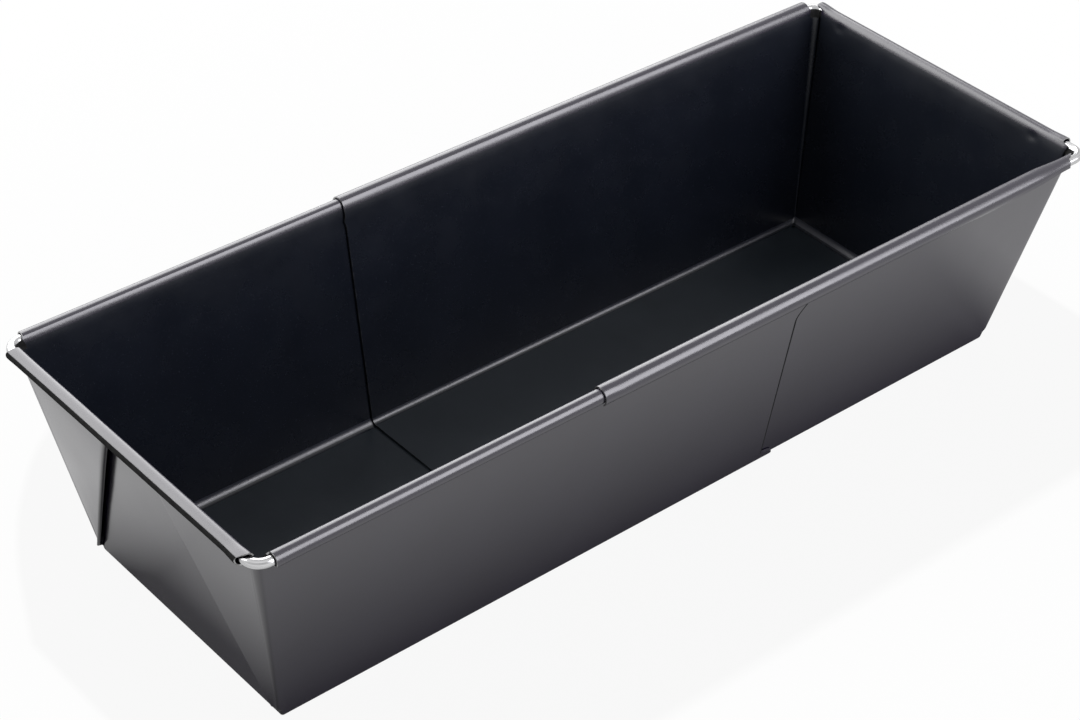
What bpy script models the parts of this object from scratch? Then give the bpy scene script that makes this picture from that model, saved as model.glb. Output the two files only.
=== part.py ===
# Adjustable loaf pan: two folded sheet-steel halves that slide in each other, each with a steel wire in
# its rolled rim. Metres, +Z up. The length runs along X, the table is at z = 0, and x = 0 lies midway
# between the two end wires as the pan is set in the photograph. The outer half is at -X, and its floor
# rests on the table. The inner half is at +X, lies in the outer one, and hooks over its beads.

import math

import bmesh
import bpy
from mathutils import Vector

# Overall sizes, as the pan is set
rim_length = 0.335  # end wire to end wire, centre to centre
rim_width = 0.126  # side wire to side wire, centre to centre
rim_height = 0.0782  # centre of both wires above the table
base_length = 0.3006
base_width = 0.0946

# Sheet, wire and fits
sheet = 0.00045
slide_gap = 0.0003  # between the two halves, all round
wire_radius = 0.0016
wire_gap = 0.00035  # between a wire and the sheet rolled round it

# Bends
foot_bend_inside = 0.0008  # floor to wall, on the innermost face of the inner half
corner_inside_low = 0.0003  # upright corners at the foot, inside face
corner_radius_top = 0.0026  # upright corners at the rim, outside face
roll_step = math.radians(18.0)
bead_steps = 17  # the outer half's bead and both end rolls close round their wire
hook_steps = 15  # the inner half's hook stays open underneath, where the other half's wall passes
roll_setback = 0.001  # a roll stops this far short of the rounded corner

# Free ends of the two halves, from x = 0
outer_floor_reach = 0.047
outer_wall_reach_low = 0.0432
outer_wall_reach_high = 0.0401
outer_rim_reach = 0.046
inner_reach = 0.046
wire_end_inset = 0.001  # the outer wire stops inside its bead
inner_wire_leg = 0.02095  # straight stretch of the inner wire in each hook, where the beads stop

# Levels up the straight wall, as shares of its height
wall_level_shares = (0.0, 0.04, 0.83, 0.93, 1.0)
reach_of_level = (
    outer_floor_reach,
    outer_wall_reach_low,
    outer_wall_reach_high,
    outer_rim_reach,
    outer_rim_reach,
)

# Ears, the folded corner flaps on the end walls
ear_tip_from_middle = 0.0112  # where a fold edge meets the rim
ear_hem_low = 0.0014  # thickness at the fold edge, near the foot
ear_hem_high = 0.0024
ear_layers = 2
ear_rim_gap = 0.0006  # an ear stops this far under the roll
ear_foot_rise = 0.0004  # an ear starts this far above the foot bend
ear_foot_width = 0.002  # of the flap at the foot, where its fold edge meets the corner
ear_side_inset = 0.0002  # an ear's corner lies this far inside the face of the side wall
ear_level_shares = (0.0, 0.25, 0.5, 0.75, 1.0)
ear_bury_share = 0.5  # of the sheet, how deep an ear is sunk in its wall
nose_stop = math.radians(225.0)  # how far a fold edge is rounded, from its top towards the wall

# Fineness of round stretches
foot_segments = 3
corner_segments = 6
wire_sides = 12
nose_segments = 5

layer = sheet + slide_gap
bead_bore = wire_radius + wire_gap
bead_radius = bead_bore + sheet
foot_bend = foot_bend_inside + sheet + layer
corner_radius_low = corner_inside_low + sheet
wire_bend = corner_radius_top + bead_bore


def blend(low, high, share):
    return low + (high - low) * share


def turned(angle):
    return Vector((math.cos(angle), math.sin(angle)))


class WallSection:
    """A wall from the floor to its roll, in a plane square to it: (outward, up)."""

    def __init__(self, half_base, half_rim, lift):
        self.lift = lift
        self.foot = Vector((half_base - foot_bend, foot_bend))
        self.wire = Vector((half_rim, rim_height - lift))
        across = self.wire - self.foot
        swing = math.asin((foot_bend + bead_bore) / across.length)
        self.lean = math.atan2(across.x, across.y) - swing
        self.normal = turned(-self.lean)

    def points(self, depth, steps):
        """The face that lies depth inside the outermost one, as floor bend, wall levels and roll."""
        start = -math.pi / 2
        bend = [
            self.foot + (foot_bend - depth) * turned(blend(start, -self.lean, i / foot_segments))
            for i in range(foot_segments)
        ]
        low = self.foot + (foot_bend - depth) * self.normal
        high = self.wire - (bead_bore + depth) * self.normal
        wall = [low.lerp(high, share) for share in wall_level_shares]
        first = math.pi - self.lean
        roll = [
            self.wire + (bead_bore + depth) * turned(first - roll_step * i)
            for i in range(1, steps + 1)
        ]
        up = Vector((0.0, self.lift))
        return [point + up for point in bend + wall + roll]


def corner_radii(depth):
    """Plan radius of an upright corner at each level up to the top of the wall."""
    wall = [blend(corner_radius_low, corner_radius_top, share) - depth for share in wall_level_shares]
    return wall[:1] * foot_segments + wall


def face_rows(side, end, side_depth, end_depth, side_steps, end_steps, reaches):
    """Rows of points up one face of a half pan whose end is at +X; None where the roll is left out."""
    side_points = side.points(side_depth, side_steps)
    end_points = end.points(end_depth, end_steps)
    radii = corner_radii(end_depth)
    top = len(radii) - 1
    rows = []
    for level in range(max(len(side_points), len(end_points))):
        beside = side_points[level] if level < len(side_points) else None
        across = end_points[level] if level < len(end_points) else None
        stop = min(level, top)
        side_stop = end_points[stop].x - radii[stop] - roll_setback
        end_stop = side_points[stop].x - radii[stop] - roll_setback
        reach = reaches[min(level, len(reaches) - 1)]
        half = [(x, beside.x, beside.y) if beside else None for x in (reach, side_stop)]
        for i in range(corner_segments + 1):
            if level > top:
                half.append(None)
                continue
            ray = radii[level] * turned(math.pi / 2 * (1 - i / corner_segments))
            x = across.x - radii[level] + ray.x
            y = beside.x - radii[level] + ray.y
            half.append((x, y, blend(beside.y, across.y, i / corner_segments)))
        half.append((across.x, end_stop, across.y) if across else None)
        rows.append(half + [(p[0], -p[1], p[2]) if p else None for p in reversed(half)])
    return rows


def sheet_mesh(bm, outside, inside, flip):
    """A closed sheet between two faces given as rows of points, with the floor closed by one polygon."""
    grids = []
    for rows in (outside, inside):
        grids.append(
            [
                [bm.verts.new((flip * p[0], p[1], p[2])) if p else None for p in row]
                for row in rows
            ]
        )
    edges = {}

    def add(corners):
        """The same face on both sides of the sheet, with its edges counted."""
        bm.faces.new([grids[0][r][c] for r, c in corners])
        bm.faces.new([grids[1][r][c] for r, c in reversed(corners)])
        for start, stop in zip(corners, corners[1:] + corners[:1]):
            if edges.pop((stop, start), None) is None:
                edges[(start, stop)] = True

    columns = len(outside[0])
    add([(0, c) for c in reversed(range(columns))])
    for r in range(len(outside) - 1):
        for c in range(columns - 1):
            corners = [(r, c), (r, c + 1), (r + 1, c + 1), (r + 1, c)]
            if all(grids[0][i][j] for i, j in corners):
                add(corners)
    for (r0, c0), (r1, c1) in edges:
        bm.faces.new((grids[0][r1][c1], grids[0][r0][c0], grids[1][r0][c0], grids[1][r1][c1]))


def ear_section(side_y, radius, fold, hem):
    """An ear cut level: (y, out from the end wall). Its back is sunk in the sheet, round the corner too."""
    bury = sheet * ear_bury_share
    corner = side_y - radius
    section = []
    for i in range(corner_segments + 1):
        ray = turned(math.pi / 2 * (1 - i / corner_segments)) * (radius - bury)
        section.append((corner + ray.y, ray.x - radius))
    section.append((fold + hem, -bury))
    for i in range(nose_segments + 1):
        ray = turned(blend(nose_stop, math.pi / 2, i / nose_segments)) * hem
        section.append((fold + hem + ray.x, hem + ray.y))
    for i in range(corner_segments + 1):
        ray = turned(math.pi / 2 * i / corner_segments) * (radius - ear_side_inset)
        section.append((corner + ray.y, ear_layers * sheet - radius + ray.x))
    return section


def ear_mesh(bm, side, end, flip, hand):
    """One corner flap: a loft of sections up the end wall, narrow at the foot, wide at the rim."""
    low = end.foot + foot_bend * end.normal
    high = end.wire - bead_bore * end.normal
    rise = high.y - low.y
    top_level = (end.wire.y - bead_radius - ear_rim_gap - low.y) / rise
    foot_level = ear_foot_rise / rise
    rings = []
    for share in ear_level_shares:
        level = blend(foot_level, top_level, share)
        radius = blend(corner_radius_low, corner_radius_top, level)
        side_y = blend(base_width / 2, side.wire.x - bead_bore, level)
        fold = blend(base_width / 2 - ear_foot_width, ear_tip_from_middle, share)
        hem = blend(ear_hem_low, ear_hem_high, share) / 2
        ring = []
        for y, out in ear_section(side_y, radius, fold, hem):
            place = low.lerp(high, level) + out * end.normal
            ring.append(bm.verts.new((flip * place.x, hand * y, place.y + end.lift)))
        rings.append(ring)
    count = len(rings[0])
    for lower, upper in zip(rings, rings[1:]):
        for i in range(count):
            j = (i + 1) % count
            bm.faces.new((lower[i], lower[j], upper[j], upper[i]))
    bm.faces.new(list(reversed(rings[0])))
    bm.faces.new(rings[-1])


def wire_mesh(bm, flip, leg_x):
    """A wire bent to a U: two legs along the sides and a run across the end."""
    centre = Vector((rim_length / 2 - wire_bend, rim_width / 2 - wire_bend))
    path = [(Vector((leg_x, rim_width / 2)), Vector((0.0, 1.0)))]
    for i in range(corner_segments + 1):
        ray = turned(math.pi / 2 * (1 - i / corner_segments))
        path.append((centre + wire_bend * ray, ray))
    back = [(Vector((p.x, -p.y)), Vector((r.x, -r.y))) for p, r in reversed(path)]
    rings = []
    for point, ray in path + back:
        ring = []
        for i in range(wire_sides):
            spin = turned(2 * math.pi * i / wire_sides) * wire_radius
            place = point + ray * spin.x
            ring.append(bm.verts.new((flip * place.x, place.y, rim_height + spin.y)))
        rings.append(ring)
    for near, far in zip(rings, rings[1:]):
        for i in range(wire_sides):
            j = (i + 1) % wire_sides
            bm.faces.new((near[i], near[j], far[j], far[i]))
    bm.faces.new(rings[0])
    bm.faces.new(list(reversed(rings[-1])))


def material(name, color, metallic, roughness):
    made = bpy.data.materials.new(name)
    made.use_nodes = True
    shader = made.node_tree.nodes["Principled BSDF"]
    shader.inputs["Base Color"].default_value = (*color, 1.0)
    shader.inputs["Metallic"].default_value = metallic
    shader.inputs["Roughness"].default_value = roughness
    made.diffuse_color = (*color, 1.0)
    return made


def add_object(name, bm, finish, parent):
    """An object made of bm, whose vertices are in world places, under its parent empty."""
    bmesh.ops.recalc_face_normals(bm, faces=bm.faces)
    mesh = bpy.data.meshes.new(name)
    for vertex in bm.verts:
        vertex.co -= parent.location
    bm.to_mesh(mesh)
    bm.free()
    mesh.shade_smooth()
    mesh.set_sharp_from_angle(angle=math.radians(35.0))
    mesh.materials.append(finish)
    made = bpy.data.objects.new(name, mesh)
    bpy.context.scene.collection.objects.link(made)
    made.parent = parent
    return made


def add_empty(name, place):
    made = bpy.data.objects.new(name, None)
    made.location = place
    bpy.context.scene.collection.objects.link(made)
    return made


def join_ears(pan, side, end, flip, finish, parent):
    """Unites the two ears with their half; they are folds of the same sheet."""
    for hand, place in ((-1, "front"), (1, "back")):
        bm = bmesh.new()
        ear_mesh(bm, side, end, flip, hand)
        ear = add_object(f"{pan.name}_{place}_ear", bm, finish, parent)
        ear.hide_render = True
        ear.display_type = "WIRE"
        union = pan.modifiers.new(f"{place}_ear", "BOOLEAN")
        union.operation = "UNION"
        union.solver = "EXACT"
        union.object = ear


def outer_half(side, finish, bright, parent):
    end = WallSection(base_length / 2, rim_length / 2, 0.0)
    reaches = [-outer_floor_reach] * foot_segments + [-reach for reach in reach_of_level]
    bm = bmesh.new()
    outside = face_rows(side, end, 0.0, 0.0, bead_steps, bead_steps, reaches)
    inside = face_rows(side, end, sheet, sheet, bead_steps, bead_steps, reaches)
    sheet_mesh(bm, outside, inside, -1)
    pan = add_object("outer_pan_half", bm, finish, parent)
    join_ears(pan, side, end, -1, finish, parent)
    bm = bmesh.new()
    wire_mesh(bm, -1, -outer_rim_reach + wire_end_inset)
    add_object("outer_rim_wire", bm, bright, parent)


def inner_half(side, finish, bright, parent):
    end = WallSection(base_length / 2, rim_length / 2, layer)
    reaches = [-inner_reach]
    bm = bmesh.new()
    outside = face_rows(side, end, layer, 0.0, hook_steps, bead_steps, reaches)
    inside = face_rows(side, end, layer + sheet, sheet, hook_steps, bead_steps, reaches)
    sheet_mesh(bm, outside, inside, 1)
    pan = add_object("inner_pan_half", bm, finish, parent)
    join_ears(pan, side, end, 1, finish, parent)
    bm = bmesh.new()
    wire_mesh(bm, 1, rim_length / 2 - wire_bend - inner_wire_leg)
    add_object("inner_rim_wire", bm, bright, parent)


def clear_scene():
    for old in list(bpy.data.objects):
        bpy.data.objects.remove(old, do_unlink=True)


def build():
    clear_scene()
    coated = material("dark coated steel", (0.045, 0.045, 0.05), 0.3, 0.38)
    bright = material("bright steel wire", (0.75, 0.75, 0.76), 1.0, 0.2)
    side = WallSection(base_width / 2, rim_width / 2, 0.0)
    outer = add_empty("outer_half", (0.0, 0.0, 0.0))
    inner = add_empty("inner_half", (0.0, 0.0, rim_height))
    outer_half(side, coated, bright, outer)
    inner_half(side, coated, bright, inner)


build()
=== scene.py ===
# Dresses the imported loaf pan: fine folded sheet, bright rim wire, studio lamps and camera.
import math

import bmesh
import bpy
from mathutils import Matrix, Vector, noise


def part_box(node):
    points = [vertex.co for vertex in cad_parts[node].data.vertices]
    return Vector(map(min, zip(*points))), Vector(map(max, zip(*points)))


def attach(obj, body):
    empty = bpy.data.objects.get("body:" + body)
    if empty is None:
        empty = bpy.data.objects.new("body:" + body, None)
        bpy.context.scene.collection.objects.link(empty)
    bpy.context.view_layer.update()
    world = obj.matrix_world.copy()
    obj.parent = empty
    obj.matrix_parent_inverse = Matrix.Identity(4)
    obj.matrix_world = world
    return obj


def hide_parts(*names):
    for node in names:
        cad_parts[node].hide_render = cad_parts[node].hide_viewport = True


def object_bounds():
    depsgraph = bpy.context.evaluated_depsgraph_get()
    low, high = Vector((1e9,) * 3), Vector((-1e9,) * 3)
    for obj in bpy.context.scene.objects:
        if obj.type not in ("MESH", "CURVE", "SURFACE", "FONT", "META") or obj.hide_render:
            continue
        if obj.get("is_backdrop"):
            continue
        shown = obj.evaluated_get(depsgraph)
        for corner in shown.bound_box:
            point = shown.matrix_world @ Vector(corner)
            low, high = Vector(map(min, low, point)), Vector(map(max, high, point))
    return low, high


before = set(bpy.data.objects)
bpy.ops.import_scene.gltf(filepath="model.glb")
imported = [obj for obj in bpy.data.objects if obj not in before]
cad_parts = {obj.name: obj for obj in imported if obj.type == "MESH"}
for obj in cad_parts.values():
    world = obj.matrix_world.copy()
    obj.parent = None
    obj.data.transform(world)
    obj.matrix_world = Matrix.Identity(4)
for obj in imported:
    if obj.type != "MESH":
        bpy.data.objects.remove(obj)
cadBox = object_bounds()
mm = 0.001


def blend(low, high, share):
    return low + (high - low) * share


def turned(angle):
    return Vector((math.cos(angle), math.sin(angle)))


def smooth(low, high, value):
    share = min(max((value - low) / (high - low), 0.0), 1.0)
    return share * share * (3 - 2 * share)


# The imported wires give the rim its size; lengths below are in millimetres until a mesh is made
wireLow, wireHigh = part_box("outer_rim_wire")
wireRadius = (wireHigh.z - wireLow.z) / 2 / mm
rim = {
    "halfLength": -wireLow.x / mm - wireRadius,  # to the centre of an end wire
    "halfWidth": wireHigh.y / mm - wireRadius,
    "height": (wireHigh.z + wireLow.z) / 2 / mm,
    "bore": wireRadius + 0.35,  # inner radius of a roll, a little wider than its wire
    "rollStop": 306.0,  # degrees of sheet round the wire
    "hookStop": 270.0,  # the same for the inner half's open hooks
    "rollRows": 40,
    "setback": 1.0,  # a wall stays straight up to this far from the rounded corner
    "easing": 0.12,  # share of a roll over which its cut end leaves the top of the wall
    "flareLength": 7.0,  # how far back from a cut end a loose roll stands off its wire
    "flareEasing": 0.2,  # share of a roll over which it comes loose
    "lip": 0.12,  # how far the lip of a hook springs outwards
    "lipFrom": 0.94,  # share of the hook where it starts to
    "shoulder": 3.6,  # the sheet starts to curve this far under a roll
    "shoulderTurn": 50.0,  # degrees into the roll where that soft curve has become round
    "waveEasing": 0.15,  # share of a roll over which its waves grow
}

# Where each roll is cut at its corner, along the rim: on its inner side, on top, outside and underneath.
# The flare is how far the side roll and the end roll stand off their wire there.
cuts = {
    "outer": {
        1: {"side": (162.9, 162.2, 162.0, 162.0), "end": (56.5, 57.4, 59.0, 59.0), "flare": (0.0, 0.1)},
        -1: {"side": (162.0, 162.0, 162.0, 161.5), "end": (61.3, 59.4, 57.0, 57.0), "flare": (0.1, 0.4)},
    },
    "inner": {
        1: {"side": (162.0, 162.0, 162.0, 162.0), "end": (60.8, 60.0, 58.5, 58.5), "flare": (0.0, 0.4)},
        -1: {"side": (162.2, 162.0, 158.8, 158.4), "end": (55.2, 55.2, 55.2, 55.2), "flare": (0.0, 0.25)},
    },
}

# The near hook of the inner half closes on its wire towards its corner, and its lip gets shorter
nearHook = {
    "shortFrom": 55.0,  # places along the half, from the middle of the pan
    "tightFrom": 142.0,
    "to": 158.0,
    "stop": 180.0,  # degrees of sheet that are left at the corner
    "freeStop": 222.0,  # degrees of sheet at the free edge
    "freeLength": 9.0,  # how far back from the free edge the hook is cut away
    "wallFrom": 0.9,  # share of its height from which the wall follows the tightened hook
}

sheet = {
    "halfBaseLength": 150.3,
    "halfBaseWidth": 47.3,
    "thickness": 0.45,
    "slideGap": 0.3,  # between the two halves
    "footInside": 1.15,  # inner radius of the inner half's foot bend
    "footSoft": 0.85,  # how much rounder the inner face of the foot bend is
    "cornerOutside": (0.75, 2.6),  # plan radius of an upright corner, at the foot and the rim
    "cornerInside": (0.3, 1.8),
    "cornerDip": 0.4,  # how far the sheet stops short of the bare wire at a corner
    "dipFrom": 0.9,  # share of the wall's height where it starts to fall behind
    "shadeStrip": (0.4, 0.8),  # painted shade strip along the outer half's free edge, at the foot and the rim
    "endBulge": 0.35,  # how far an end wall bows out in its middle
    "dentFade": 0.95,  # share of the wall's height above which a dent fades
    "floorRing": 2.0,  # width of the ring between the foot bend and the flat of the floor
    "footRows": 8,
    "sideColumns": 72,
    "cornerColumns": 12,
    "flapColumns": 36,
    "endColumns": 12,
    "sharpTurn": 40.0,  # degrees between two faces from which their edge is shaded sharp
    "weld": 1e-7,  # vertices nearer than this become one, in metres
}
layer = sheet["thickness"] + sheet["slideGap"]
footBend = sheet["footInside"] + sheet["thickness"] + layer

# Waves in the folded sheet: height, length along the wall or rim, how many go up or round, and their own seed
waves = {
    "side": (0.05, 46, 2.1, 0),
    "sideRoll": (0.03, 21, 1.3, 40),
    "end": (0.12, 27, 2.6, 80),
    "endRoll": (0.03, 17, 1.3, 60),
}

# Heights up a wall, as shares, closer together where the sheet turns
wallShares = [0.0, 0.005, 0.01, 0.015, 0.019, 0.023, 0.027, 0.032, 0.038, 0.046, 0.06, 0.08, 0.105]
wallShares += [0.14 + 0.04 * i for i in range(17)]
wallShares += [0.8, 0.815, 0.83, 0.845, 0.86, 0.88, 0.9, 0.915, 0.93, 0.938, 0.945, 0.951, 0.956, 0.96]
wallShares += [0.966, 0.972, 0.978, 0.984, 0.99, 0.995, 1.0]
sheetRows = [("foot", i / sheet["footRows"]) for i in range(sheet["footRows"])]
sheetRows += [("wall", share) for share in wallShares]
sheetRows += [("roll", (i + 1) / rim["rollRows"]) for i in range(rim["rollRows"])]


# How far up its wall a row lies, as a share
def levelOf(row):
    part, share = row
    return {"foot": 0.0, "wall": share, "roll": 1.0}[part]


def waveOff(kind, place, share, seed):
    height, length, count, own = waves[kind]
    return height * noise.noise(Vector((place / length, share * count, seed + own)))


# A wall from floor to roll, cut square to its length: outward and up
class WallProfile:
    def __init__(self, halfBase, halfRim, lift):
        self.lift = lift
        self.foot = Vector((halfBase - footBend, footBend))
        self.wire = Vector((halfRim, rim["height"] - lift))
        across = self.wire - self.foot
        self.lean = math.atan2(across.x, across.y) - math.asin((footBend + rim["bore"]) / across.length)
        self.normal = turned(-self.lean)

    # A roll starts on the pan's side of its wire and goes over it to the outside
    def rollAngle(self, share, stop):
        return math.pi - self.lean - math.radians(stop) * share

    # A spot on the face that lies depth inside the outermost one, at a distance past the straight wall's top
    def along(self, distance, depth):
        radius = rim["bore"] + depth
        high = self.wire - radius * self.normal
        if distance < 0:
            low = self.foot + (footBend - depth) * self.normal
            return high + (high - low).normalized() * distance
        return self.wire + radius * turned(math.pi - self.lean - distance / radius)

    # The inner face has a rounder foot bend, which takes up a little of the straight wall
    def point(self, row, depth, stop, inner=False):
        part, share = row
        soft = sheet["footSoft"] if inner else 0.0
        if part == "foot":
            middle = self.foot + soft * Vector((-(1 + self.normal.y) / self.normal.x, 1.0))
            place = middle + (footBend - depth + soft) * turned(blend(-math.pi / 2, -self.lean, share))
            return place + Vector((0.0, self.lift))
        radius = rim["bore"] + depth
        low = self.foot + (footBend - depth) * self.normal
        high = self.wire - radius * self.normal
        if part == "wall":
            taken = soft * math.tan((math.pi / 2 - self.lean) / 2)
            distance = (share - 1) * ((high - low).length - taken)
        else:
            distance = math.radians(stop) * share * radius
        first, turn = -rim["shoulder"], math.radians(rim["shoulderTurn"])
        last = turn * radius
        if first < distance < last:
            # A soft curve from the straight wall into the round of the roll
            corner = high + (high - low).normalized() * radius * math.tan(turn / 2)
            t = (distance - first) / (last - first)
            start, end = self.along(first, depth), self.along(last, depth)
            place = (1 - t) ** 2 * start + 2 * t * (1 - t) * corner + t * t * end
        else:
            place = self.along(distance, depth)
        return place + Vector((0.0, self.lift))


# One half of the pan, described with its end wall at +x; flip turns it round
class PanHalf:
    def __init__(self, name, flip, lift, sideDepth, sideStop, reach, folds, cut, dents):
        self.name = name
        self.cut = cut
        self.flip = flip
        self.side = WallProfile(sheet["halfBaseWidth"], rim["halfWidth"], 0.0)
        self.end = WallProfile(sheet["halfBaseLength"], rim["halfLength"], lift)
        self.sideDepth = sideDepth
        self.sideStop = sideStop
        self.reach = reach
        self.folds = folds
        self.dents = dents
        self.hooked = sideStop < rim["rollStop"]

    # How far the sheet of a side wall lies off the true plane, at x along it
    def sideSway(self, row, x, hand):
        part, share = row
        if part == "foot":
            return 0.0
        seed = 7.0 * hand + 3.0 * self.flip  # each of the four long walls has waves of its own
        if part == "roll":
            return waveOff("sideRoll", x, share, seed) * smooth(0, rim["waveEasing"], share)
        return waveOff("side", x, share, seed) * math.sin(math.pi * share)

    # The same for the end wall, which also bows out a little in its middle and may have dents
    def endSway(self, row, y):
        part, share = row
        if part == "foot":
            return 0.0
        if part == "roll":
            return waveOff("endRoll", y, share, self.flip) * smooth(0, rim["waveEasing"], share)
        wide = blend(sheet["halfBaseWidth"], rim["halfWidth"], share)
        bow = max(0.0, 1 - (y / wide) ** 2)
        sway = (sheet["endBulge"] + waveOff("end", y, share, self.flip)) * bow * math.sin(math.pi * share)
        height = self.end.point(row, 0.0, 0.0).y
        for dent in self.dents:
            away = ((y - dent["across"]) ** 2 + (height - dent["height"]) ** 2) / dent["radius"] ** 2
            sway += dent["depth"] * math.exp(-away) * (1 - smooth(sheet["dentFade"], 1.0, share))
        return sway


# The outer half's free edge: a tab on the floor, then a leaning edge that swings out under its roll
tabEdge = {
    "tab": 47.0,  # how far the sheet reaches past the middle of the pan, from the floor to the roll
    "low": 41.9,
    "high": 40.1,
    "top": 46.0,
    "tabRound": 1.2,  # how much the tab is rounded off where it meets the floor
    "tabRoundTo": 0.6,  # share of the foot bend
    "tabTop": 0.02,  # shares of the wall's height
    "leanTo": 0.83,
    "swing": (0.815, 0.945),
}


def tabReach(row):
    part, share = row
    if part == "foot":
        return tabEdge["tab"] - tabEdge["tabRound"] * (1 - smooth(0, tabEdge["tabRoundTo"], share))
    if part == "roll":
        return tabEdge["top"]
    if share < tabEdge["tabTop"]:
        return blend(tabEdge["low"], tabEdge["tab"], math.sqrt(1 - (share / tabEdge["tabTop"]) ** 2))
    if share < tabEdge["leanTo"]:
        return blend(tabEdge["low"], tabEdge["high"], share / tabEdge["leanTo"])
    return blend(tabEdge["high"], tabEdge["top"], smooth(*tabEdge["swing"], share))


# The inner half's free edge is straight but for a nick under the hook
straightEdge = {"reach": 46.0, "nick": 0.55, "nickAt": 0.941, "nickSpan": 0.011}


def straightReach(row):
    part, share = row
    if part != "wall":
        return straightEdge["reach"]
    away = (share - straightEdge["nickAt"]) / straightEdge["nickSpan"]
    return straightEdge["reach"] + straightEdge["nick"] * math.exp(-(away**2))


# Place of a cut end at one angle of its roll, in degrees: 180 is the inner side, 0 the outer side
def cutAt(stops, angle):
    spots = list(zip((180.0, 90.0, 0.0, -90.0), stops))
    for (high, first), (low, second) in zip(spots, spots[1:]):
        if angle >= low:
            return blend(first, second, smooth(0, 1, min(1.0, (high - angle) / (high - low))))
    return stops[-1]


# Sheet depth and degrees of the side roll at x: the near hook tightens towards its corner
def sideRoll(half, x, hand):
    if not half.hooked or hand > 0:
        return half.sideDepth, half.sideStop
    stop = blend(half.sideStop, nearHook["stop"], smooth(nearHook["shortFrom"], nearHook["to"], x))
    whole = smooth(0, nearHook["freeLength"], x + straightEdge["reach"])
    stop = min(stop, blend(nearHook["freeStop"], half.sideStop, whole))
    return half.sideDepth * (1 - smooth(nearHook["tightFrom"], nearHook["to"], x)), stop


# An ear is the corner's spare sheet, folded flat against the end wall
ears = {
    "low": 0.02,  # shares of the wall's height where an ear starts, is whole, closes and has gone
    "full": 0.04,
    "high": 0.956,
    "gone": 0.985,
    "least": 0.12,  # share of its size with which it starts
    "tip": 11.2,  # from the middle of the end wall
    "wedge": 5.0,  # how far the gap under a fold runs back
    "wedgeShare": 0.5,  # of the flap's width, which it never passes
    "wedgeEnd": 0.04,  # what is left of the gap there
    "noseSteps": 8,
    "underSteps": 4,
    "darkFrom": 2,  # step of its strip from which a dark fold gets painted shade
}

# Each fold: thickness of its hem and its gap to the wall, both at the foot and the rim; how far from the
# corner it starts at the foot; how far its tip is shifted; a dark one gets painted shade underneath
folds = {
    "outer": {
        1: {"hem": (1.2, 2.2), "off": (0.8, 1.05), "foot": 0.8, "shift": -1.3, "dark": False},  # sprung open
        -1: {"hem": (1.0, 1.3), "off": (0.35, 0.4), "foot": 2.3, "shift": 0.0, "dark": True},
    },
    "inner": {
        1: {"hem": (1.0, 1.4), "off": (0.1, 0.5), "foot": 2.3, "shift": 0.6, "dark": True},
        -1: {"hem": (1.0, 1.4), "off": (0.2, 0.4), "foot": 2.3, "shift": -0.4, "dark": True},
    },
}

# The slit where an ear leaves the inside corner
crease = {
    "depth": 0.95,
    "left": 0.35,  # share of it that is left at the rim
    "width": (0.18, 0.75),  # at the foot and the rim
    # Each column: millimetres and widths from the corner's round, then shares of the depth and of the dip
    "columns": (
        (0.04, 0.0, 1.0, 1.0),
        (0.04, 0.75, 1.0, 1.0),
        (0.04, 1.0, 0.25, 0.7),
        (0.12, 1.1, 0.0, 0.35),
    ),
}

# Columns of a face, counted from its free edge: where corner, flap and flat end wall start, and the middle
cornerColumn = sheet["sideColumns"]
flapColumn = cornerColumn + sheet["cornerColumns"] + 1 + len(crease["columns"])
foldColumn = flapColumn + sheet["flapColumns"] + 1
middleColumn = foldColumn + sheet["endColumns"]


# How far up its ear a row lies, as a share
def upEar(level):
    return min(max((level - ears["low"]) / (ears["high"] - ears["low"]), 0.0), 1.0)


# Where an ear is folded, from the middle of the end wall
def foldPlace(fold, up):
    return blend(sheet["halfBaseWidth"] - fold["foot"], ears["tip"] + fold["shift"], up)


# An ear at one level: how far its corner and its fold stand off the end wall
def earAt(fold, share, wide):
    if not ears["low"] <= share < 1:
        return None
    whole = smooth(ears["low"], ears["full"], share)
    closed = smooth(ears["high"], ears["gone"], share)
    grown = max(whole, ears["least"])
    up = upEar(share)
    place = foldPlace(fold, up)
    return {
        "corner": 2 * sheet["thickness"] * whole * (1 - closed),
        "open": share <= ears["high"],
        "hem": blend(*fold["hem"], up) * grown,
        "off": blend(*fold["off"], up) * grown,
        "wedge": min(ears["wedge"], ears["wedgeShare"] * (wide - place)) * grown,
        "grown": grown,
    }


# The sheet of a fold on one row: round its nose, back along the gap and out again on the end wall
def foldStrip(ear, noseAt, foldAt, onEnd):
    strip = []
    nose = ear["hem"] / 2
    for i in range(1, ears["noseSteps"] + 1):
        bend = turned(math.pi / 2 + math.pi * i / ears["noseSteps"]) * nose
        strip.append(onEnd(noseAt + bend.x, ear["off"] + nose + bend.y))
    inward = noseAt + ear["wedge"]
    for i in range(1, ears["underSteps"] + 1):
        along = i / ears["underSteps"]
        strip.append(onEnd(blend(noseAt, inward, along), blend(ear["off"], ears["wedgeEnd"], along)))
    for i in range(1, ears["underSteps"] + 1):
        strip.append(onEnd(blend(inward, foldAt, i / ears["underSteps"]), 0.0))
    return strip


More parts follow.
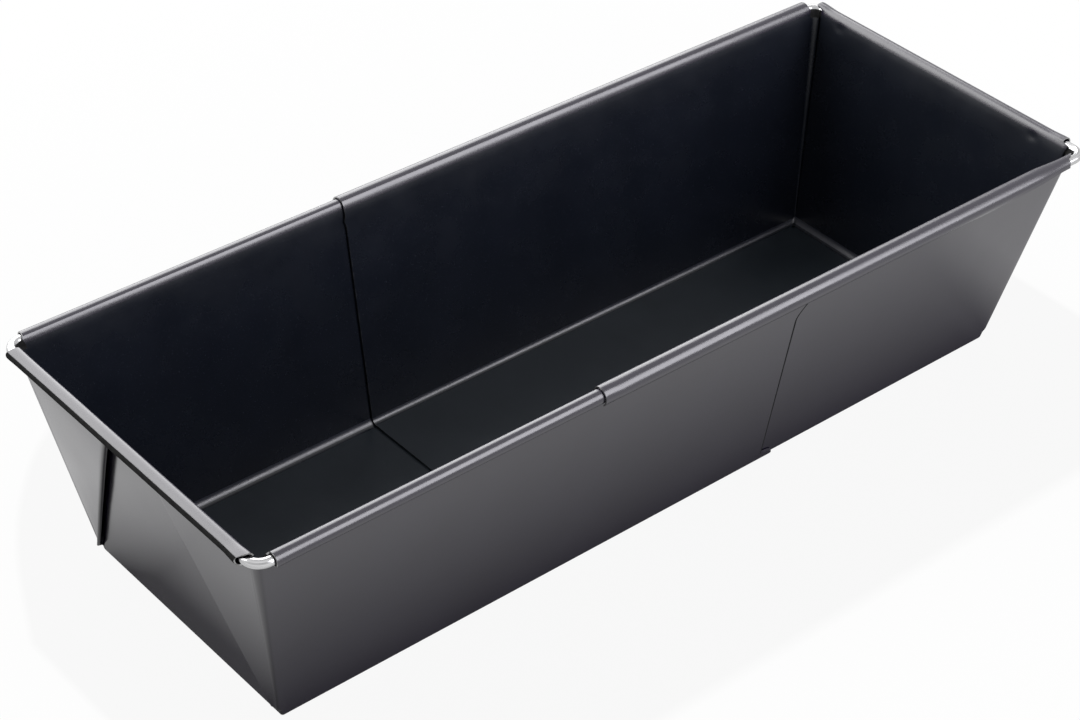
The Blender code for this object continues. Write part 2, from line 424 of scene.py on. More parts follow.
# One row of a face from the free edge to the middle of the end wall, and its fold's strip; None where
# a roll is left out at the corner
def quarterRow(half, row, onFace, hand):
    part, share = row
    level = levelOf(row)
    outer = onFace == "outer"
    own = 0.0 if outer else sheet["thickness"]
    sideDepth, endDepth = half.sideDepth + own, own
    across = half.end.point(row, endDepth, rim["rollStop"], not outer)
    radius = blend(*sheet["cornerOutside" if outer else "cornerInside"], level)
    limit = ("wall", 1.0) if part == "roll" else row
    cornerX = half.end.point(limit, endDepth, 0.0, not outer).x - radius
    cornerY = half.side.point(limit, sideDepth, 0.0, not outer).x - radius
    sideEnd, endEnd = cornerX - rim["setback"], cornerY - rim["setback"]
    cut = half.cut[hand]
    endAngle = half.end.rollAngle(share, rim["rollStop"])
    if part == "roll":
        eased = smooth(0, rim["easing"], share)
        sideAngle = half.side.rollAngle(share, half.sideStop)
        sideEnd = blend(sideEnd, cutAt(cut["side"], math.degrees(sideAngle)), eased)
        endEnd = blend(endEnd, cutAt(cut["end"], math.degrees(endAngle)), eased)
    ear = earAt(half.folds[hand], share, endEnd) if part == "wall" else None
    lifted = ear["corner"] if ear and outer else 0.0
    out = half.end.normal

    # How far a roll stands off its wire, away from its cut end
    def flared(flare, fromCut):
        loose = flare * (1 - smooth(0, rim["flareLength"], fromCut))
        return loose * smooth(0, rim["flareEasing"], share)

    def onEnd(y, off):
        sway = half.endSway(row, hand * y)
        x, z = across.x + (off + sway) * out.x, across.y + (off + sway) * out.y
        if part == "roll":
            loose = flared(cut["flare"][1], endEnd - y)
            ray = turned(endAngle)
            x, z = x + loose * ray.x, z + loose * ray.y
        return (x, y, z)

    def onSide(x):
        depth, stop = sideRoll(half, x, hand)
        sway = half.sideSway(row, x, hand)
        if part == "roll":
            beside = half.side.point(row, depth + own, stop)
            push = flared(cut["flare"][0], sideEnd - x)
            if half.hooked:
                push += rim["lip"] * smooth(rim["lipFrom"], 1.0, share)
            ray = turned(half.side.rollAngle(share, stop))
        else:
            # The wall under the tightened hook follows it outwards
            beside = half.side.point(row, sideDepth, half.sideStop, not outer)
            push = (half.sideDepth - depth) * smooth(nearHook["wallFrom"], 1.0, level)
            ray = half.side.normal
        return (x, beside.x + sway + push * ray.x, beside.y + push * ray.y)

    reach = -half.reach(row)
    points = [onSide(reach)]
    first = reach + blend(*sheet["shadeStrip"], level)
    for i in range(sheet["sideColumns"]):
        points.append(onSide(blend(first, sideEnd, i / (sheet["sideColumns"] - 1))))
    if part == "roll":
        points += [None] * (flapColumn - cornerColumn)
    else:
        # The corner takes up what the hook pushes the side wall out by, and dips under the bare wire
        beside = points[-1]
        pushed = beside[1] - half.side.point(row, sideDepth, 0.0, not outer).x
        pushed -= half.sideSway(row, sideEnd, hand)
        dip = sheet["cornerDip"] * smooth(sheet["dipFrom"], 1.0, level)
        for i in range(sheet["cornerColumns"] + 1):
            done = i / sheet["cornerColumns"]
            ray = radius * turned(math.pi / 2 * (1 - done))
            height = blend(beside[2], across.y, done) + lifted * out.y * done - dip
            points.append((cornerX + ray.x + lifted * out.x, cornerY + ray.y + pushed * (1 - done), height))
        slit = 0.0
        if ear and not outer:
            slit = max(ear["corner"] / (2 * sheet["thickness"]), crease["left"] * min(1, ear["grown"]))
            slit *= crease["depth"]
        wide = blend(*crease["width"], level)
        for start, widths, deep, low in crease["columns"]:
            place = onEnd(cornerY - start - wide * widths, lifted + slit * deep)
            points.append((place[0], place[1], place[2] - low * dip))
    foldAt = foldPlace(half.folds[hand], upEar(level))
    flapTo, flapOff, strip = foldAt, 0.0, []
    if ear and ear["open"] and outer:
        flapTo, flapOff = foldAt + ear["hem"] / 2, ear["off"] + ear["hem"]
        strip = foldStrip(ear, flapTo, foldAt, onEnd)
    for i in range(sheet["flapColumns"] + 1):
        along = i / sheet["flapColumns"]
        points.append(onEnd(blend(endEnd, flapTo, along), blend(lifted, flapOff, along)))
    for i in range(1, sheet["endColumns"] + 1):
        points.append(onEnd(blend(foldAt, 0.0, i / sheet["endColumns"]), 0.0))
    return points, strip


# The finishes of a half, in the order in which its mesh holds them
finishOrder = ("outside", "cut", "scorched", "inside", "floor", "bend")
finishPlace = {key: place for place, key in enumerate(finishOrder)}

# Where a finish starts, as a share of the foot bend, the wall or the roll
finishFrom = {
    "bend": 0.3,  # stretched coating in the foot bend
    "cornerTop": 0.965,  # painted shade on the top of an inside corner
    "wallTop": 0.98,  # the outside's coating comes in over the rim down to here
    "rollShade": 0.44,  # painted shade on the underside of an end roll
}


def faceFinish(half, onFace, row, column):
    part, share = row
    if onFace == "outer":
        # a strip of painted shade along the outer half's free edge, for the dark seam
        scorched = column == 0 and not half.hooked and part == "wall" and share > tabEdge["tabTop"]
        return "scorched" if scorched else "outside"
    if part == "foot":
        return "bend" if share > finishFrom["bend"] else "inside"
    if part == "roll":
        # painted shade on the underside of the end roll
        return "scorched" if column >= flapColumn and share > finishFrom["rollShade"] else "outside"
    # painted shade on the top of an inside corner
    if cornerColumn <= column < flapColumn and share > finishFrom["cornerTop"]:
        return "scorched"
    return "inside" if share < finishFrom["wallTop"] else "outside"


# Wear on edges, which shows pale flecks: all of it on a fold's nose, part of it on a cut
wear = {"nose": 1.0, "cut": 0.6}


# The vertices of one face, for both hands, which share the line down the middle of the end wall
def layRows(half, onFace, vertex, rub):
    grid, strips = {1: [], -1: []}, {1: [], -1: []}
    for hand in (1, -1):
        for r, row in enumerate(sheetRows):
            points, strip = quarterRow(half, row, onFace, hand)
            if hand == 1:
                line = [vertex(p, hand) if p else None for p in points]
            else:
                line = [vertex(p, hand) if p else None for p in points[:-1]] + [grid[1][r][middleColumn]]
            grid[hand].append(line)
            strips[hand].append([vertex(p, hand) for p in strip])
            for v in strips[hand][-1][: ears["noseSteps"] - 1]:
                v[rub] = wear["nose"]
    return grid, strips


# Sews the rows of one hand; a fold's strip lies between its flap and the flat of the end wall
def sewRows(bm, half, onFace, hand, lines, strips):
    for r in range(len(lines) - 1):
        low, high = lines[r], lines[r + 1]
        for c in range(middleColumn):
            corners = [low[c], low[c + 1], high[c + 1], high[c]]
            if c == foldColumn:
                if strips[r]:
                    corners[0] = strips[r][-1]
                if strips[r + 1]:
                    corners[3] = strips[r + 1][-1]
            if all(corners):
                face = bm.faces.new(corners)
                face.material_index = finishPlace[faceFinish(half, onFace, sheetRows[r], c)]
        under = [low[foldColumn]] + strips[r]
        over = [high[foldColumn]] + strips[r + 1]
        if len(under) == len(over):
            for i in range(len(under) - 1):
                face = bm.faces.new((under[i], under[i + 1], over[i + 1], over[i]))
                # painted shade on the underside of a dark fold's hem
                dark = half.folds[hand]["dark"] and i >= ears["darkFrom"]
                face.material_index = finishPlace["scorched" if dark else "outside"]
        elif len(under) > 1:
            for i in range(len(under) - 1):
                bm.faces.new((under[i], under[i + 1], over[0]))
        else:
            for i in range(len(over) - 1):
                bm.faces.new((under[0], over[i + 1], over[i]))


# The floor of one face: a narrow flat ring, then one polygon
def sewFloor(bm, half, onFace, grid, vertex):
    edgeX = half.end.point(sheetRows[0], 0.0, 0.0).x - sheet["floorRing"]
    edgeY = half.side.point(sheetRows[0], 0.0, 0.0).x - sheet["floorRing"]
    finish = finishPlace["outside" if onFace == "outer" else "floor"]
    ring = {1: [], -1: []}
    for hand in (1, -1):
        lowest = grid[hand][0]
        for v in lowest if hand == 1 else lowest[:-1]:
            x = min(half.flip * v.co.x / mm, edgeX)
            y = min(abs(v.co.y) / mm, edgeY)
            ring[hand].append(vertex((x, y, v.co.z / mm), hand))
        if hand == -1:
            ring[hand].append(ring[1][middleColumn])
        for c in range(middleColumn):
            corners = (lowest[c], lowest[c + 1], ring[hand][c + 1], ring[hand][c])
            bm.faces.new(corners).material_index = finish
    bm.faces.new(ring[1] + list(reversed(ring[-1][:-1]))).material_index = finish
    return ring


# Closes the sheet's edges between its two faces: painted shade or coated where it is free, else bare metal
def closeEdges(bm, half, grids, rings, rub):
    partner, onFloor, coated, scorched = {}, set(), set(), set()
    for hand in (1, -1):
        for outerLine, innerLine in zip(grids["outer"][hand], grids["inner"][hand]):
            partner.update({a: b for a, b in zip(outerLine, innerLine) if a})
        partner.update(zip(rings["outer"][hand], rings["inner"][hand]))
        onFloor.update(rings["outer"][hand] + rings["inner"][hand])
        scorched.add(rings["outer"][hand][0])
        # a free edge gets painted shade on its cut face, except the outer half's tab, which is coated
        for row, line in zip(sheetRows, grids["outer"][hand]):
            if row[0] != "roll":
                onTab = not half.hooked and levelOf(row) <= tabEdge["tabTop"]
                (coated if onTab else scorched).add(line[0])
            # the cut top of the sheet at a corner gets painted shade
            if row == ("wall", 1.0):
                scorched.update(line[cornerColumn : flapColumn + 1])
    for edge in [e for e in bm.edges if e.is_boundary and all(v in partner for v in e.verts)]:
        a, b = edge.verts
        face = bm.faces.new((a, b, partner[b], partner[a]))
        if not {a, b} <= coated | scorched:
            face.material_index = finishPlace["cut"]
        else:
            face.material_index = finishPlace["outside" if {a, b} & coated else "scorched"]
        for v in {a, b, partner[a], partner[b]} - onFloor:
            v[rub] = max(v[rub], wear["cut"])


# Sews both faces of a half into one closed sheet
def sewHalf(half):
    bm = bmesh.new()
    rub = bm.verts.layers.float.new("rubbed")

    def vertex(place, hand):
        return bm.verts.new((half.flip * place[0] * mm, hand * place[1] * mm, place[2] * mm))

    grids, rings = {}, {}
    for onFace in ("outer", "inner"):
        grids[onFace], strips = layRows(half, onFace, vertex, rub)
        for hand in (1, -1):
            sewRows(bm, half, onFace, hand, grids[onFace][hand], strips[hand])
        rings[onFace] = sewFloor(bm, half, onFace, grids[onFace], vertex)
    closeEdges(bm, half, grids, rings, rub)
    bmesh.ops.remove_doubles(bm, verts=bm.verts, dist=sheet["weld"])
    bmesh.ops.recalc_face_normals(bm, faces=bm.faces)
    return bm


def addPiece(name, bm, finishes, body, node):
    mesh = bpy.data.meshes.new(name)
    bm.to_mesh(mesh)
    bm.free()
    mesh.shade_smooth()
    mesh.set_sharp_from_angle(angle=math.radians(sheet["sharpTurn"]))
    for finish in finishes:
        mesh.materials.append(finish)
    piece = bpy.data.objects.new(name, mesh)
    bpy.context.scene.collection.objects.link(piece)
    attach(piece, body)
    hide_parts(node)
    return piece


# A rim wire bent to a U, with rounded tips, and its own lengthwise map for the drawing marks
wireShape = {
    "sides": 24,
    "legSteps": 10,
    "bendSteps": 18,
    "endSteps": 8,
    "tipSteps": 4,
    "tipPoint": 0.02,  # share of the wire's radius at the very tip
    "mapLength": 100.0,  # of wire in one width of the map
}


# Half of the wire's line, from a tip to the middle of the end: spots, ways outward and shares of the radius
def halfWire(legStart):
    bendRadius = sheet["cornerOutside"][1] + rim["bore"]
    centre = Vector((rim["halfLength"] - bendRadius, rim["halfWidth"] - bendRadius))
    outward, onward = Vector((0.0, 1.0)), Vector((1.0, 0.0))
    path = []
    for i in range(wireShape["tipSteps"] + 1):
        swing = math.pi / 2 * i / wireShape["tipSteps"]
        x = legStart + wireRadius * (1 - math.cos(swing))
        path.append((Vector((x, rim["halfWidth"])), outward, max(math.sin(swing), wireShape["tipPoint"])))
    first = path[-1][0].x
    for i in range(1, wireShape["legSteps"]):
        x = blend(first, centre.x, i / wireShape["legSteps"])
        path.append((Vector((x, rim["halfWidth"])), outward, 1.0))
    for i in range(wireShape["bendSteps"] + 1):
        ray = turned(math.pi / 2 * (1 - i / wireShape["bendSteps"]))
        path.append((centre + bendRadius * ray, ray, 1.0))
    for i in range(1, wireShape["endSteps"] + 1):
        y = blend(centre.y, 0.0, i / wireShape["endSteps"])
        path.append((Vector((rim["halfLength"], y)), onward, 1.0))
    return path


def bendWire(flip, legStart):
    path = halfWire(legStart)
    path += [(Vector((p.x, -p.y)), Vector((r.x, -r.y)), size) for p, r, size in reversed(path[:-1])]
    bm = bmesh.new()
    drawn = bm.loops.layers.uv.new("drawn")
    sides = wireShape["sides"]
    rings, travel, along = [], 0.0, []
    for i, (place, ray, size) in enumerate(path):
        if i:
            travel += (place - path[i - 1][0]).length
        along.append(travel)
        ring = []
        for k in range(sides):
            spin = turned(2 * math.pi * k / sides) * wireRadius * size
            spot = place + ray * spin.x
            ring.append(bm.verts.new((flip * spot.x * mm, spot.y * mm, (rim["height"] + spin.y) * mm)))
        rings.append(ring)
    for i in range(len(rings) - 1):
        for k in range(sides):
            after = (k + 1) % sides
            face = bm.faces.new((rings[i][k], rings[i][after], rings[i + 1][after], rings[i + 1][k]))
            steps = ((i, k), (i, k + 1), (i + 1, k + 1), (i + 1, k))
            for loop, (lengthwise, around) in zip(face.loops, steps):
                loop[drawn].uv = (along[lengthwise] / wireShape["mapLength"], around / sides)
    bm.faces.new(rings[0])
    bm.faces.new(list(reversed(rings[-1])))
    bmesh.ops.recalc_face_normals(bm, faces=bm.faces)
    return bm


def newFinish(name):
    finish = bpy.data.materials.new(name)
    finish.use_nodes = True
    nodes = finish.node_tree.nodes
    return finish, nodes, finish.node_tree.links, nodes["Principled BSDF"]


# A new node; settings that start with in_ are values of its inputs
def addNode(nodes, kind, **settings):
    made = nodes.new(kind)
    for key, value in settings.items():
        if key.startswith("in_"):
            made.inputs[key[3:].replace("_", " ")].default_value = value
        else:
            setattr(made, key, value)
    return made


# A maths node whose inputs are other nodes' outputs or plain values
def worked(nodes, links, kind, operation, values, output="Value"):
    made = addNode(nodes, kind, operation=operation)
    for socket, value in zip(made.inputs, values):
        if isinstance(value, bpy.types.NodeSocket):
            links.new(value, socket)
        else:
            socket.default_value = value
    return made.outputs[output]


def ramp(nodes, links, source, stops):
    made = nodes.new("ShaderNodeValToRGB")
    made.color_ramp.elements[0].position, made.color_ramp.elements[0].color = stops[0]
    made.color_ramp.elements[1].position, made.color_ramp.elements[1].color = stops[-1]
    for place, color in stops[1:-1]:
        made.color_ramp.elements.new(place).color = color
    links.new(source, made.inputs["Fac"])
    return made.outputs["Color"]


def grey(value, blue=1.0):
    return (value, value, value * blue, 1.0)


# The non-stick coating, in a copy for each place on the sheet. Their tones were set apart to give each place
# its brightness: the inside walls' copy is darker than the outside's, a painted shade, and the floor's copy
# is lighter than the inside walls', a painted light; the foot bend's copy is lighter and bluer than the
# inside walls'.
coatings = {
    "outside": {
        "name": "dark coated steel",
        "dark": (0.0098, 0.0070, 0.0180),
        "pale": (0.0132, 0.0104, 0.0230),
        "fleck": (0.026, 0.028, 0.034),
        "gloss": (0.22, 0.30),  # roughness of its clearest and haziest patches
        "smoother": 0.55,  # share of that roughness low on the walls
        "index": 1.73,
    },
    # darker than the outside's copy: painted shade for the inside of the pan
    "inside": {
        "name": "dark coated steel, inside",
        "dark": (0.0046, 0.0062, 0.0108),
        "pale": (0.0070, 0.0090, 0.0150),
        "fleck": (0.026, 0.030, 0.040),
        "gloss": (0.28, 0.38),
        "smoother": 0.8,
        "index": 1.5,
    },
    # lighter than the inside walls' copy: painted light on the floor
    "floor": {
        "name": "dark coated steel, floor",
        "dark": (0.0110, 0.0152, 0.0205),
        "pale": (0.0150, 0.0200, 0.0262),
        "fleck": (0.036, 0.044, 0.054),
        "gloss": (0.32, 0.42),
        "smoother": 1.0,
        "index": 1.45,
    },
    "bend": {
        "name": "dark coated steel, foot bend",
        "dark": (0.0085, 0.0100, 0.0190),
        "pale": (0.0125, 0.0140, 0.0260),
        "fleck": (0.030, 0.034, 0.048),
        "gloss": (0.36, 0.44),
        "smoother": 1.0,
        "index": 1.85,
    },
}

# The coating's grain: scale, detail and roughness of each noise, and the part of it that is used
grains = {
    "cloud": {"noise": (38, 4, 0.6), "span": (0.35, 0.68)},
    "fleck": {"noise": (2600, 1, 0.5), "span": (0.68, 0.76)},
    "wear": {"noise": (420, 3, 0.6), "span": (0.45, 0.7), "most": 0.5, "tone": 0.09},
    "haze": {"noise": (55, 5, 0.62), "span": (0.3, 0.72)},
    "peel": {"noise": (900, 2, 0.5), "strength": 0.35, "height": 0.03},
    "ripple": {"noise": (70, 1, 0.4), "strength": 0.25, "height": 0.2},
}
hazeHeight = 14.0  # the coating gets hazier over this height below the rim wire


def coatedSteel(coating):
    finish, nodes, links, shader = newFinish(coating["name"])
    shader.inputs["IOR"].default_value = coating["index"]
    spot = addNode(nodes, "ShaderNodeTexCoord").outputs["Object"]

    def grain(key):
        scale, detail, rough = grains[key]["noise"]
        made = addNode(nodes, "ShaderNodeTexNoise", in_Scale=scale, in_Detail=detail, in_Roughness=rough)
        links.new(spot, made.inputs["Vector"])
        return made.outputs["Fac"]

    def patches(key, least, most):
        low, high = grains[key]["span"]
        return ramp(nodes, links, grain(key), [(low, least), (high, most)])

    def mixed(share, under, over):
        made = addNode(nodes, "ShaderNodeMix", data_type="RGBA")
        links.new(share, made.inputs["Factor"])
        links.new(under, made.inputs["A"])
        made.inputs["B"].default_value = over
        return made.outputs["Result"]

    def bump(key, under=None):
        made = addNode(nodes, "ShaderNodeBump", in_Strength=grains[key]["strength"])
        made.inputs["Distance"].default_value = grains[key]["height"] * mm
        links.new(grain(key), made.inputs["Height"])
        if under:
            links.new(under, made.inputs["Normal"])
        return made.outputs["Normal"]

    cloud = patches("cloud", (*coating["dark"], 1), (*coating["pale"], 1))
    flecked = mixed(patches("fleck", grey(0), grey(1)), cloud, (*coating["fleck"], 1))
    rubbed = addNode(nodes, "ShaderNodeAttribute", attribute_name="rubbed").outputs["Fac"]
    chipped = patches("wear", grey(0), grey(grains["wear"]["most"]))
    worn = worked(nodes, links, "ShaderNodeMath", "MULTIPLY", (rubbed, chipped))
    links.new(mixed(worn, flecked, grey(grains["wear"]["tone"])), shader.inputs["Base Color"])

    haze = patches("haze", grey(coating["gloss"][0]), grey(coating["gloss"][1]))
    height = nodes.new("ShaderNodeSeparateXYZ")
    links.new(spot, height.inputs["Vector"])
    clearer = addNode(nodes, "ShaderNodeMapRange", interpolation_type="SMOOTHSTEP")
    clearer.inputs["From Min"].default_value = (rim["height"] - hazeHeight) * mm
    clearer.inputs["From Max"].default_value = rim["height"] * mm
    clearer.inputs["To Min"].default_value = coating["smoother"]
    links.new(height.outputs["Z"], clearer.inputs["Value"])
    rough = worked(nodes, links, "ShaderNodeMath", "MULTIPLY", (haze, clearer.outputs["Result"]))
    links.new(rough, shader.inputs["Roughness"])
    links.new(bump("peel", bump("ripple")), shader.inputs["Normal"])
    return finish


# The edges of the sheet: tone and roughness go from the first value to the second over a fine grain
edges = {
    "cut": {
        "name": "bare cut edge of the sheet",
        "metallic": 1.0,
        "specular": 0.5,
        "grain": 700,
        "tone": (0.12, 0.42),
        "rough": (0.5, 0.3),
    },
    # scorched: a dark, dull finish that hardly reflects, painted shade put where the sheet lies in shade:
    # under the end rolls, along free edges, under folds and on top of the inside corners
    "scorched": {
        "name": "scorched edge of the coating",
        "metallic": 0.0,
        "specular": 0.02,
        "grain": 520,
        "tone": (0.016, 0.030),
        "rough": (0.85, 1.0),
    },
}
edgeGrain = {"detail": 3, "span": (0.3, 0.7)}


def sheetEdge(edge):
    finish, nodes, links, shader = newFinish(edge["name"])
    shader.inputs["Metallic"].default_value = edge["metallic"]
    shader.inputs["Specular IOR Level"].default_value = edge["specular"]
    spot = addNode(nodes, "ShaderNodeTexCoord").outputs["Object"]
    grain = addNode(nodes, "ShaderNodeTexNoise", in_Scale=edge["grain"], in_Detail=edgeGrain["detail"])
    links.new(spot, grain.inputs["Vector"])
    for key, socket in (("tone", "Base Color"), ("rough", "Roughness")):
        stops = [(place, grey(value)) for place, value in zip(edgeGrain["span"], edge[key])]
        links.new(ramp(nodes, links, grain.outputs["Fac"], stops), shader.inputs[socket])
    return finish


# Drawn steel wire: fine marks along it, with darker and rougher ones between bright ones
drawnWire = {
    "stretch": (9.0, 60.0, 1.0),  # marks along the map and around the wire
    "detail": 4,
    "grain": 0.6,
    "tone": [(0.3, grey(0.27, 1.02)), (0.65, grey(0.66, 1.01))],
    "rough": [(0.3, grey(0.24)), (0.7, grey(0.13))],
    "markStrength": 0.3,
    "markHeight": 0.02,
}


def brightWire():
    finish, nodes, links, shader = newFinish("bright drawn wire")
    shader.inputs["Metallic"].default_value = 1.0
    along = addNode(nodes, "ShaderNodeUVMap", uv_map="drawn").outputs["UV"]
    stretch = addNode(nodes, "ShaderNodeMapping", in_Scale=drawnWire["stretch"])
    links.new(along, stretch.inputs["Vector"])
    lines = addNode(nodes, "ShaderNodeTexNoise", in_Scale=1.0)
    lines.inputs["Detail"].default_value = drawnWire["detail"]
    lines.inputs["Roughness"].default_value = drawnWire["grain"]
    links.new(stretch.outputs["Vector"], lines.inputs["Vector"])
    for key, socket in (("tone", "Base Color"), ("rough", "Roughness")):
        links.new(ramp(nodes, links, lines.outputs["Fac"], drawnWire[key]), shader.inputs[socket])
    marks = addNode(nodes, "ShaderNodeBump", in_Strength=drawnWire["markStrength"])
    marks.inputs["Distance"].default_value = drawnWire["markHeight"] * mm
    links.new(lines.outputs["Fac"], marks.inputs["Height"])
    links.new(marks.outputs["Normal"], shader.inputs["Normal"])
    return finish


finishes = {key: coatedSteel(coating) for key, coating in coatings.items()}
finishes.update({key: sheetEdge(edge) for key, edge in edges.items()})
sheetFinishes = [finishes[key] for key in finishOrder]
wireFinish = brightWire()
print("finishes made")

# Two small dents high on the inner half's end wall
innerDents = [
    {"across": -43.2, "height": 76.9, "depth": 0.4, "radius": 1.6},
    {"across": 47.5, "height": 76.9, "depth": 0.4, "radius": 1.6},
]
outerHalf = PanHalf(
    name="outer_half_sheet",
    flip=-1,
    lift=0.0,
    sideDepth=0.0,
    sideStop=rim["rollStop"],
    reach=tabReach,
    folds=folds["outer"],
    cut=cuts["outer"],
    dents=[],
)
innerHalf = PanHalf(
    name="inner_half_sheet",
    flip=1,
    lift=layer,
    sideDepth=layer,
    sideStop=rim["hookStop"],
    reach=straightReach,
    folds=folds["inner"],
    cut=cuts["inner"],
    dents=innerDents,
)
for half, body, node in (
    (outerHalf, "outer_half", "outer_pan_half"),
    (innerHalf, "inner_half", "inner_pan_half"),
):
    addPiece(half.name, sewHalf(half), sheetFinishes, body, node)
    print(half.name, "folded")

outerWire = bendWire(-1, -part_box("outer_rim_wire")[1].x / mm)
addPiece("outer_bright_wire", outerWire, [wireFinish], "outer_half", "outer_rim_wire")
innerWire = bendWire(1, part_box("inner_rim_wire")[0].x / mm)
addPiece("inner_bright_wire", innerWire, [wireFinish], "inner_half", "inner_rim_wire")
print("rim wires bent")


# Lamps on stands round the pan, metres and watts, and a white table whose shade round the pan's foot is
# partly real, from its dark diffuse part, and partly a painted shadow drawn by its whiteness
studio = {
    "lamps": {
        "long_white_behind": {
            "azimuth": 99,
            "elevation": 35,
            "distance": 1.1,
            "width": 2.6,
            "height": 1.1,
            "power": 36,
            "color": (1, 1, 1),
        },
        "front_right": {
            "azimuth": -58,
            "elevation": 31,
            "distance": 1.3,
            "width": 0.82,
            "height": 0.95,
            "power": 13.8,
            "color": (0.95, 0.94, 1.0),
        },
    },
    "sky": 0.3,
    # the table's own tone, dark so that the shade near the foot is deep: painted shade
    "tableShadowTone": 0.12,
    "tableRough": 0.9,
    "tableRadius": 6.0,
    "tableDrop": 0.0001,  # how far the table lies under the pan's foot
    "footprint": (0.155, 0.047),  # half sizes of the pan's foot
    "fringe": (0.036, 0.072),  # how far the painted shadow reaches at the ends and along the sides
    "slant": 0.45,  # how fast the left end's painted shadow draws in towards the back
    "slantFrom": 0.025,
    # Whiteness of the table, by distance from the foot in fringes; low whiteness near the foot paints a
    # shadow there
    "whiteness": ((0.0, 0.06), (0.1, 0.18), (0.6, 0.72), (1.0, 0.98), (4.0, 1.0)),
    "softened": 0.93,  # how much lighter the camera sees that painted shadow
}


def toward(azimuth, elevation):
    flat = turned(math.radians(azimuth)) * math.cos(math.radians(elevation))
    return Vector((flat.x, flat.y, math.sin(math.radians(elevation))))


def hangLamp(name, stand):
    lamp = bpy.data.lights.new(name, "AREA")
    lamp.shape = "RECTANGLE"
    lamp.size, lamp.size_y = stand["width"], stand["height"]
    lamp.energy = stand["power"]
    lamp.color = stand["color"]
    holder = bpy.data.objects.new(name, lamp)
    way = toward(stand["azimuth"], stand["elevation"])
    holder.location = way * stand["distance"]
    holder.rotation_euler = way.to_track_quat("Z", "Y").to_euler()
    holder.visible_camera = False
    bpy.context.scene.collection.objects.link(holder)


# 1 for a camera, gloss or glass ray, 0 for every other ray
def whiteRays(nodes, links):
    path = nodes.new("ShaderNodeLightPath")
    seen = path.outputs["Is Camera Ray"]
    for extra in ("Is Glossy Ray", "Is Transmission Ray"):
        seen = worked(nodes, links, "ShaderNodeMath", "MAXIMUM", (seen, path.outputs[extra]))
    return seen


# The sky is white to those rays and a plain tone to the others
def dressSky():
    world = bpy.data.worlds.new("plain studio")
    bpy.context.scene.world = world
    world.use_nodes = True
    nodes, links = world.node_tree.nodes, world.node_tree.links
    soft = nodes["Background"]
    soft.inputs["Color"].default_value = grey(1)
    soft.inputs["Strength"].default_value = studio["sky"]
    white = addNode(nodes, "ShaderNodeBackground", in_Color=grey(1), in_Strength=1.0)
    pick = nodes.new("ShaderNodeMixShader")
    links.new(whiteRays(nodes, links), pick.inputs["Fac"])
    links.new(soft.outputs["Background"], pick.inputs[1])
    links.new(white.outputs["Background"], pick.inputs[2])
    links.new(pick.outputs["Shader"], nodes["World Output"].inputs["Surface"])


# Painted shadow on the table: whiteness at a spot, least at the pan's foot, growing outwards
def paintedTableShadow(nodes, links):
    spot = addNode(nodes, "ShaderNodeTexCoord").outputs["Object"]
    sides = nodes.new("ShaderNodeSeparateXYZ")
    links.new(spot, sides.inputs["Vector"])
    slanted = nodes.new("ShaderNodeMapRange")
    slanted.inputs["From Min"].default_value = studio["slantFrom"]
    slanted.inputs["From Max"].default_value = studio["slantFrom"] + 1
    slanted.inputs["To Max"].default_value = studio["slant"]
    links.new(sides.outputs["Y"], slanted.inputs["Value"])
    leftward = (slanted.outputs["Result"], sides.outputs["X"])
    leftward = worked(nodes, links, "ShaderNodeMath", "SUBTRACT", leftward)
    outward = worked(nodes, links, "ShaderNodeMath", "MAXIMUM", (leftward, sides.outputs["X"]))
    spread = nodes.new("ShaderNodeCombineXYZ")
    links.new(outward, spread.inputs["X"])
    links.new(sides.outputs["Y"], spread.inputs["Y"])
    away = spread.outputs["Vector"]
    for operation, *others in (
        ("ABSOLUTE",),
        ("SUBTRACT", (*studio["footprint"], 0.0)),
        ("DIVIDE", (*studio["fringe"], 1.0)),
        ("MAXIMUM", (0.0, 0.0, 0.0)),
    ):
        away = worked(nodes, links, "ShaderNodeVectorMath", operation, (away, *others), "Vector")
    away = worked(nodes, links, "ShaderNodeVectorMath", "LENGTH", (away,))
    reach = studio["whiteness"][-1][0]
    near = addNode(nodes, "ShaderNodeMapRange")
    near.inputs["From Max"].default_value = reach
    links.new(away, near.inputs["Value"])
    stops = [(distance / reach, grey(tone)) for distance, tone in studio["whiteness"]]
    return ramp(nodes, links, near.outputs["Result"], stops)


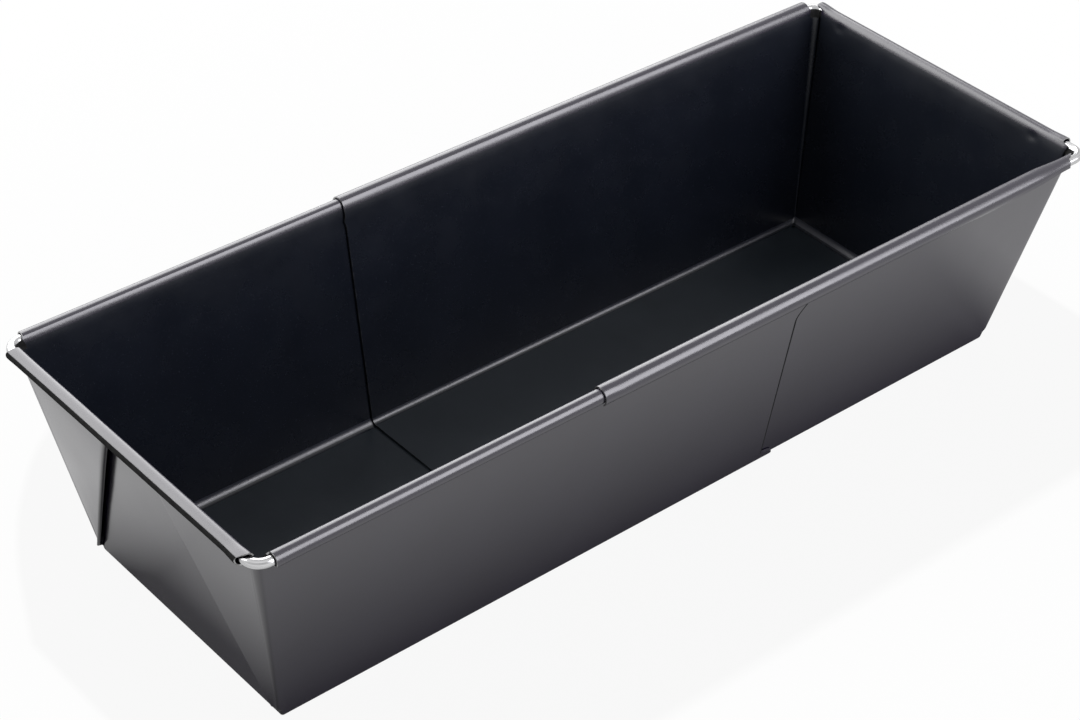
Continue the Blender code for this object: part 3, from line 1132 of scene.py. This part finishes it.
def layTable():
    finish, nodes, links, shader = newFinish("white table")
    shader.inputs["Base Color"].default_value = grey(studio["tableShadowTone"])
    shader.inputs["Roughness"].default_value = studio["tableRough"]
    shader.inputs["Specular IOR Level"].default_value = 0.0
    white = addNode(nodes, "ShaderNodeEmission", in_Color=grey(1), in_Strength=1.0)
    toCamera = nodes.new("ShaderNodeLightPath").outputs["Is Camera Ray"]
    lighter = worked(nodes, links, "ShaderNodeMath", "MULTIPLY", (toCamera, studio["softened"]))
    whiter = worked(nodes, links, "ShaderNodeMath", "MAXIMUM", (paintedTableShadow(nodes, links), lighter))
    both = worked(nodes, links, "ShaderNodeMath", "MULTIPLY", (whiter, whiteRays(nodes, links)))
    pick = nodes.new("ShaderNodeMixShader")
    links.new(both, pick.inputs["Fac"])
    links.new(shader.outputs["BSDF"], pick.inputs[1])
    links.new(white.outputs["Emission"], pick.inputs[2])
    links.new(pick.outputs["Shader"], nodes["Material Output"].inputs["Surface"])
    bm = bmesh.new()
    bmesh.ops.create_circle(bm, cap_ends=True, segments=64, radius=studio["tableRadius"])
    mesh = bpy.data.meshes.new("white_table")
    bm.to_mesh(mesh)
    bm.free()
    mesh.materials.append(finish)
    table = bpy.data.objects.new("white_table", mesh)
    table.location.z = -studio["tableDrop"]
    bpy.context.scene.collection.objects.link(table)
    table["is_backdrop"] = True


for name, stand in studio["lamps"].items():
    hangLamp(name, stand)
dressSky()
layTable()
print("studio lit")

# The camera stands where it stood for the photograph
shot = {
    "place": (-0.46426, -0.5098, 0.54671),
    "yaw": 41.46,  # degrees from +y towards +x
    "down": 36.712,
    "roll": 2.081,
    "lens": 88.763,
    "sensor": 36,
}


def setCamera():
    yaw, down, roll = (math.radians(shot[key]) for key in ("yaw", "down", "roll"))
    ahead = Vector((math.sin(yaw) * math.cos(down), math.cos(yaw) * math.cos(down), -math.sin(down)))
    right = Vector((math.cos(yaw), -math.sin(yaw), 0.0))
    up = right.cross(ahead)
    across = math.cos(roll) * right + math.sin(roll) * up
    above = math.cos(roll) * up - math.sin(roll) * right
    camera = bpy.data.cameras.new("photo_camera")
    camera.lens = shot["lens"]
    camera.sensor_width = shot["sensor"]
    camera.sensor_fit = "HORIZONTAL"
    holder = bpy.data.objects.new("photo_camera", camera)
    turn = Matrix((across, above, -ahead)).transposed().to_4x4()
    holder.matrix_world = Matrix.Translation(shot["place"]) @ turn
    bpy.context.scene.collection.objects.link(holder)
    bpy.context.scene.camera = holder


setCamera()
bpy.context.scene.view_settings.view_transform = "Standard"

boxes = {"cad": cadBox, "visual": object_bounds()}
{key: [list(corner) for corner in corners] for key, corners in boxes.items()}
print("camera set")
